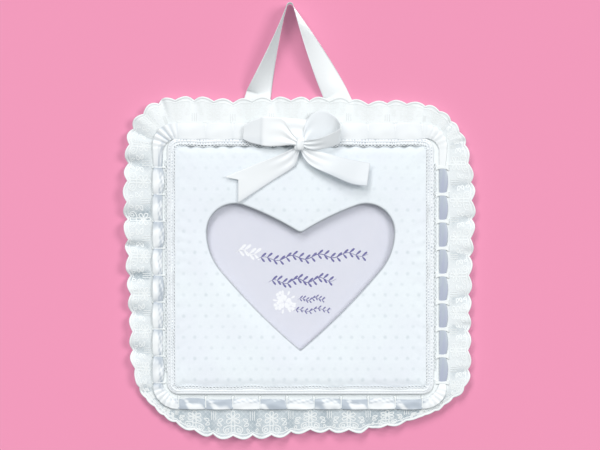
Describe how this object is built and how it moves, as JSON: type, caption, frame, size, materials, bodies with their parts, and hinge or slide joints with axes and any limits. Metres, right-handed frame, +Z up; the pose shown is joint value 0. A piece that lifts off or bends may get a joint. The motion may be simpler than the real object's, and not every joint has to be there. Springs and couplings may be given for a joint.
{
  "type": "photo frame",
  "caption": "Hanging photo frame: padded fabric panel with a heart-shaped window, lace ruffle, threaded ribbon, bow and ribbon loop; the print slides out at the side.",
  "frame": {"origin": "seat of the ribbon loop on its nail, at the middle of the ribbon's width", "axes": "+X to the viewer's right, +Y towards the wall, +Z up"},
  "size_m": [0.3516, 0.027, 0.4341],
  "materials": {
    "satin": "white satin ribbon",
    "lace": "white net lace with corded scallops",
    "cotton": "white cotton with small pale dots",
    "braid": "white gimp braid",
    "wadding": "polyester wadding",
    "card_board": "grey board",
    "lining_paper": "matt white lining paper",
    "clear_sheet": "clear film",
    "print_paper": "pale lavender insert card",
    "staple_wire": "bright wire",
    "thread": "white sewing thread"
  },
  "bodies": {
    "hanger": {"hanging_ribbon": "satin"},
    "frame": {"hanger_end_left": "satin", "hanger_end_right": "satin", "beading_ribbon": "satin", "bow_knot": "satin", "bow_loop_left": "satin", "bow_loop_right": "satin", "bow_tail_left": "satin", "bow_tail_right": "satin", "lace_ruffle_top": "lace", "lace_ruffle_right": "lace", "lace_ruffle_bottom": "lace", "lace_ruffle_left": "lace", "beading_bars": "lace", "fabric_cover": "cotton", "gimp_braid": "braid", "wadding_pad": "wadding", "front_board": "card_board", "back_board": "card_board", "pocket_strip_top": "card_board", "pocket_strip_bottom": "card_board", "pocket_strip_left": "card_board", "back_lining": "lining_paper", "hanger_staples": "staple_wire", "bow_stitches": "thread"},
    "photo": {"photo_insert": "print_paper"},
    "window": {"window_sheet": "clear_sheet"}
  },
  "joints": [
    {"name": "frame_swing", "type": "hinge", "parent": "hanger", "child": "frame", "pos_m": [0.0105, 0.0095, -0.09], "axis": [-1, 0, 0], "range_deg": [0, 80]},
    {"name": "photo_slide", "type": "slide", "parent": "frame", "child": "photo", "axis": [1, 0, 0], "range_m": [0, 0.255]},
    {"name": "window_slide", "type": "slide", "parent": "frame", "child": "window", "axis": [1, 0, 0], "range_m": [0, 0.255]}
  ]
}
